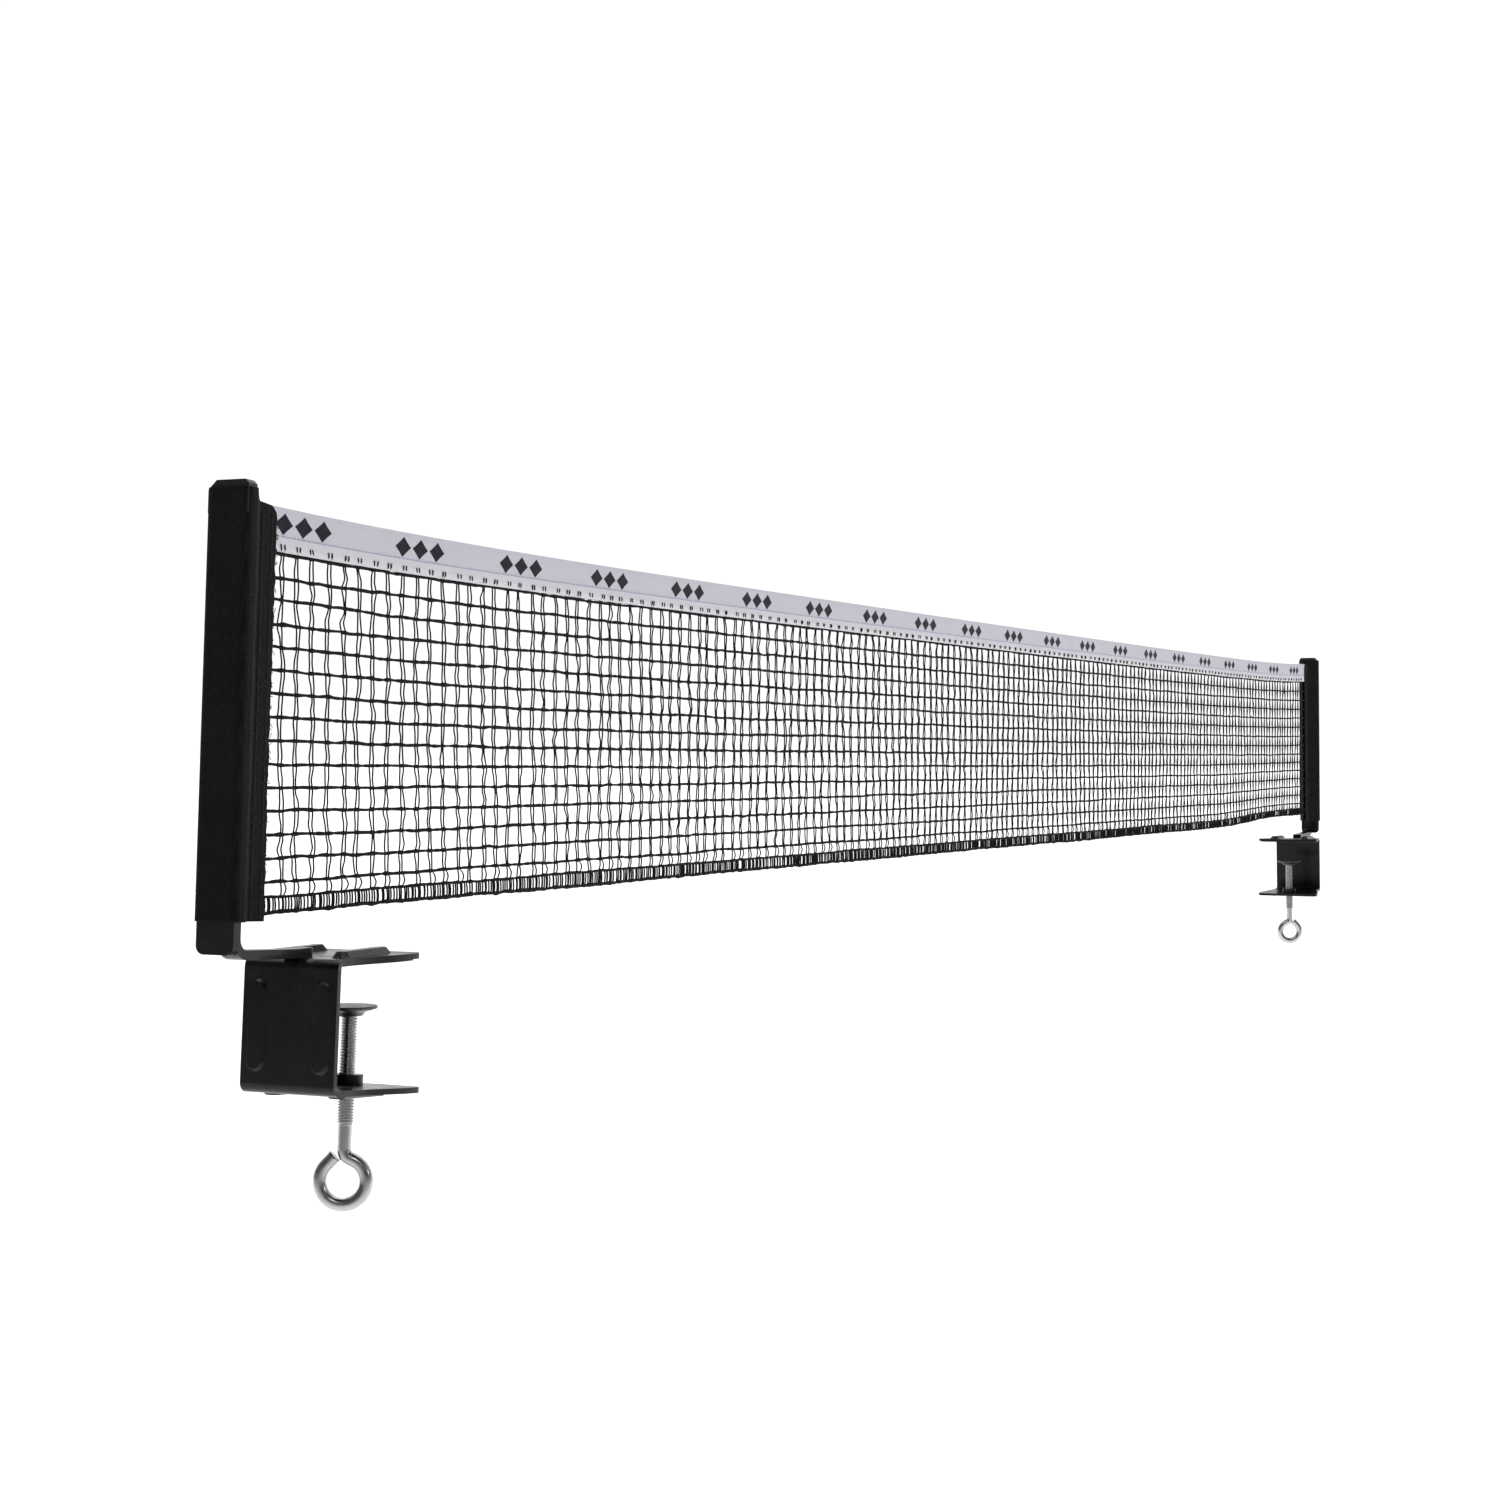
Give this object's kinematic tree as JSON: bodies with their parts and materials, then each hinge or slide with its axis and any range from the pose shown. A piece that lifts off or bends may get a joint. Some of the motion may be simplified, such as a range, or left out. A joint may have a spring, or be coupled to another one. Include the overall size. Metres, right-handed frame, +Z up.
{
  "type": "clamp-on table tennis net set",
  "caption": "Table tennis net on two posts, each held to the table edge by a pressed steel screw clamp with a turning eye.",
  "frame": {"origin": "on the underside of the left upper jaw's pad, level with the left clamping screw and in the plane of the net", "axes": "+X along the net from the left clamp to the right clamp, +Z up"},
  "size_m": [1.6114, 0.0536, 0.2452],
  "materials": {
    "black_paint": "glossy black paint on pressed steel",
    "black_rubber": "smooth black protective pad",
    "dark_steel": "dark satin plate",
    "zinc_steel": "bright zinc plated steel",
    "rivet_steel": "rivets painted black with the arm",
    "black_plastic": "glossy moulded black",
    "black_fabric": "ribbed woven black sleeve",
    "white_tape": "white woven tape",
    "net_cord": "dark knotted cotton cord"
  },
  "bodies": {
    "root": {"left_clamp_bracket": "black_paint", "left_jaw_pad": "black_rubber", "left_arm": "black_paint", "left_post": "black_paint", "left_post_rivets": "rivet_steel", "left_post_cap": "black_plastic", "left_net_sleeve": "black_fabric", "right_clamp_bracket": "black_paint", "right_jaw_pad": "black_rubber", "right_arm": "black_paint", "right_post": "black_paint", "right_post_rivets": "rivet_steel", "right_post_cap": "black_plastic", "right_net_sleeve": "black_fabric", "net_tape": "white_tape", "net_mesh": "net_cord", "net_hem": "net_cord"},
    "left_plate": {"left_pressure_plate": "dark_steel"},
    "left_screw": {"left_eye_bolt": "zinc_steel"},
    "right_plate": {"right_pressure_plate": "dark_steel"},
    "right_screw": {"right_eye_bolt": "zinc_steel"}
  },
  "joints": [
    {"name": "left_plate_slide", "type": "slide", "parent": "root", "child": "left_plate", "axis": [0.0663, 0, 0.9978], "range_m": [-0.019, 0.012]},
    {"name": "left_screw_turn", "type": "hinge", "parent": "left_plate", "child": "left_screw", "pos_m": [0, -0.0022, 0], "axis": [0.0663, 0, 0.9978], "range_deg": [-6840, 4320]},
    {"name": "right_plate_slide", "type": "slide", "parent": "root", "child": "right_plate", "axis": [-0.0663, 0, 0.9978], "range_m": [-0.019, 0.012]},
    {"name": "right_screw_turn", "type": "hinge", "parent": "right_plate", "child": "right_screw", "pos_m": [1.4566, 0.0022, 0], "axis": [-0.0663, 0, 0.9978], "range_deg": [-6840, 4320]}
  ],
  "couplings": [
    {"joint": "left_plate_slide", "follows": "left_screw_turn", "m_per_rad": 0.00015915},
    {"joint": "right_plate_slide", "follows": "right_screw_turn", "m_per_rad": 0.00015915}
  ]
}
